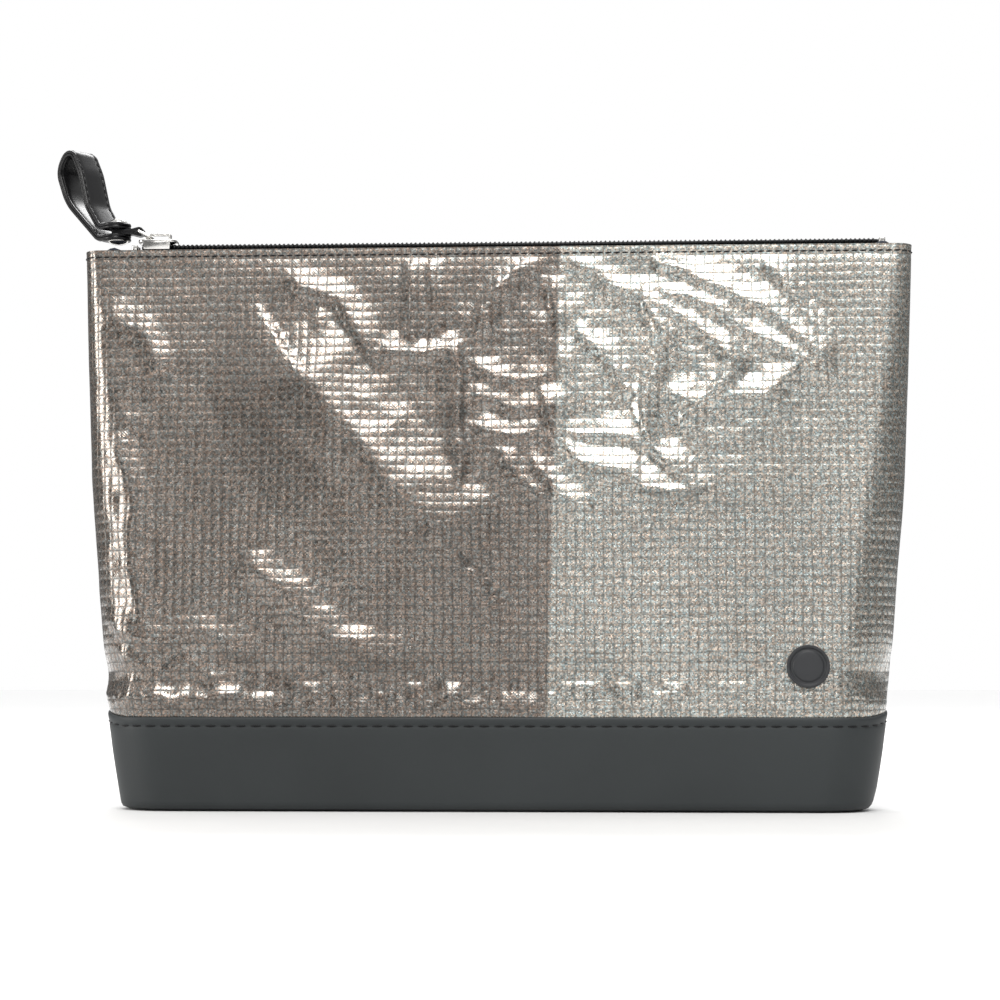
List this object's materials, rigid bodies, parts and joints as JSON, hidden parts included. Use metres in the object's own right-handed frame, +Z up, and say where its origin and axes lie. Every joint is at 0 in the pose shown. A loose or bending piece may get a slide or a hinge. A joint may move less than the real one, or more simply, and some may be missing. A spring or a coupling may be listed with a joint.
{
  "type": "zip pouch",
  "caption": "Flat-bottomed battery-safe zip pouch in metallised scrim laminate with a leather base band, lined walls, coil zip and riveted leather pull strap.",
  "frame": {"origin": "centre of the flat base, on the surface the pouch stands on", "axes": "+X along the zip towards its bottom stop, the front faces -Y, +Z up"},
  "size_m": [0.2957, 0.0492, 0.2281],
  "materials": {
    "laminate": "metallised scrim laminate, glossy film over a grid of yarns",
    "leather": "smooth semi-matte dark grey",
    "strap_leather": "polished black with painted edges",
    "board": "stiff fibre board",
    "lining": "woven glass-fibre lining",
    "binding": "ribbed binding tape",
    "zip_tape": "herringbone woven tape",
    "zip_coil": "black nylon coil",
    "metal": "polished nickel plate",
    "thread": "twisted black thread",
    "badge": "satin dark grey"
  },
  "bodies": {
    "bag": {"front_panel": "laminate", "back_panel": "laminate", "base_band_front": "leather", "base_band_back": "leather", "base_panel": "leather", "base_board": "board", "lining_front": "lining", "lining_back": "lining", "lining_base": "lining", "side_seam_left": "binding", "side_seam_right": "binding", "zip_tape_front": "zip_tape", "zip_tape_back": "zip_tape", "zip_coil_front": "zip_coil", "zip_coil_back": "zip_coil", "zip_top_stops": "metal", "zip_bottom_stop": "metal", "mouth_stitching_front": "thread", "mouth_stitching_back": "thread", "band_stitching_front": "thread", "band_stitching_back": "thread", "badge": "badge"},
    "slider": {"slider_body": "metal", "slider_bridge": "metal"},
    "pull_ring": {"pull_ring": "metal"},
    "pull_strap": {"pull_strap": "strap_leather", "strap_lining": "strap_leather", "strap_keeper": "strap_leather", "strap_stitching": "thread", "rivet_post": "metal", "rivet_cap": "metal"}
  },
  "joints": [
    {"name": "slider_travel", "type": "slide", "parent": "bag", "child": "slider", "axis": [1, 0, 0], "range_m": [0, 0.237]},
    {"name": "ring_swing", "type": "hinge", "parent": "slider", "child": "pull_ring", "pos_m": [-0.1179, 0, 0.19407], "axis": [0, 1, 0], "range_deg": [0, 60]},
    {"name": "strap_swing", "type": "hinge", "parent": "pull_ring", "child": "pull_strap", "pos_m": [-0.12214, 0, 0.19633], "axis": [0, 1, 0], "range_deg": [0, 20]}
  ]
}
